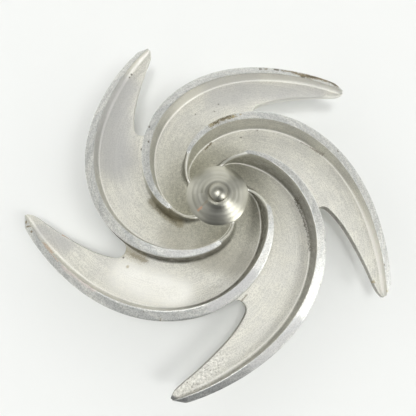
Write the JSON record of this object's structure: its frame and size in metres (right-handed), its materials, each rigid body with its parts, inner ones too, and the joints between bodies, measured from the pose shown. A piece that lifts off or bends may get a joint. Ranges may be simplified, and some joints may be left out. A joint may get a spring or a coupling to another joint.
{
  "type": "pump impeller",
  "caption": "Open pump impeller cast in one piece: swept-back vanes on a cut-away back plate, a turned conical nose at the eye and a round hub with a blind shaft bore behind.",
  "frame": {"origin": "centre of mass, on the shaft axis", "axes": "+Z along the shaft axis towards the suction side; the picture is taken from +Z with +X to its right"},
  "size_m": [0.312, 0.3155, 0.0541],
  "materials": {
    "cast_stainless": "bare casting, blasted, with machined vane tops and a turned nose"
  },
  "bodies": {
    "root": {"impeller_casting": "cast_stainless"}
  },
  "joints": []
}
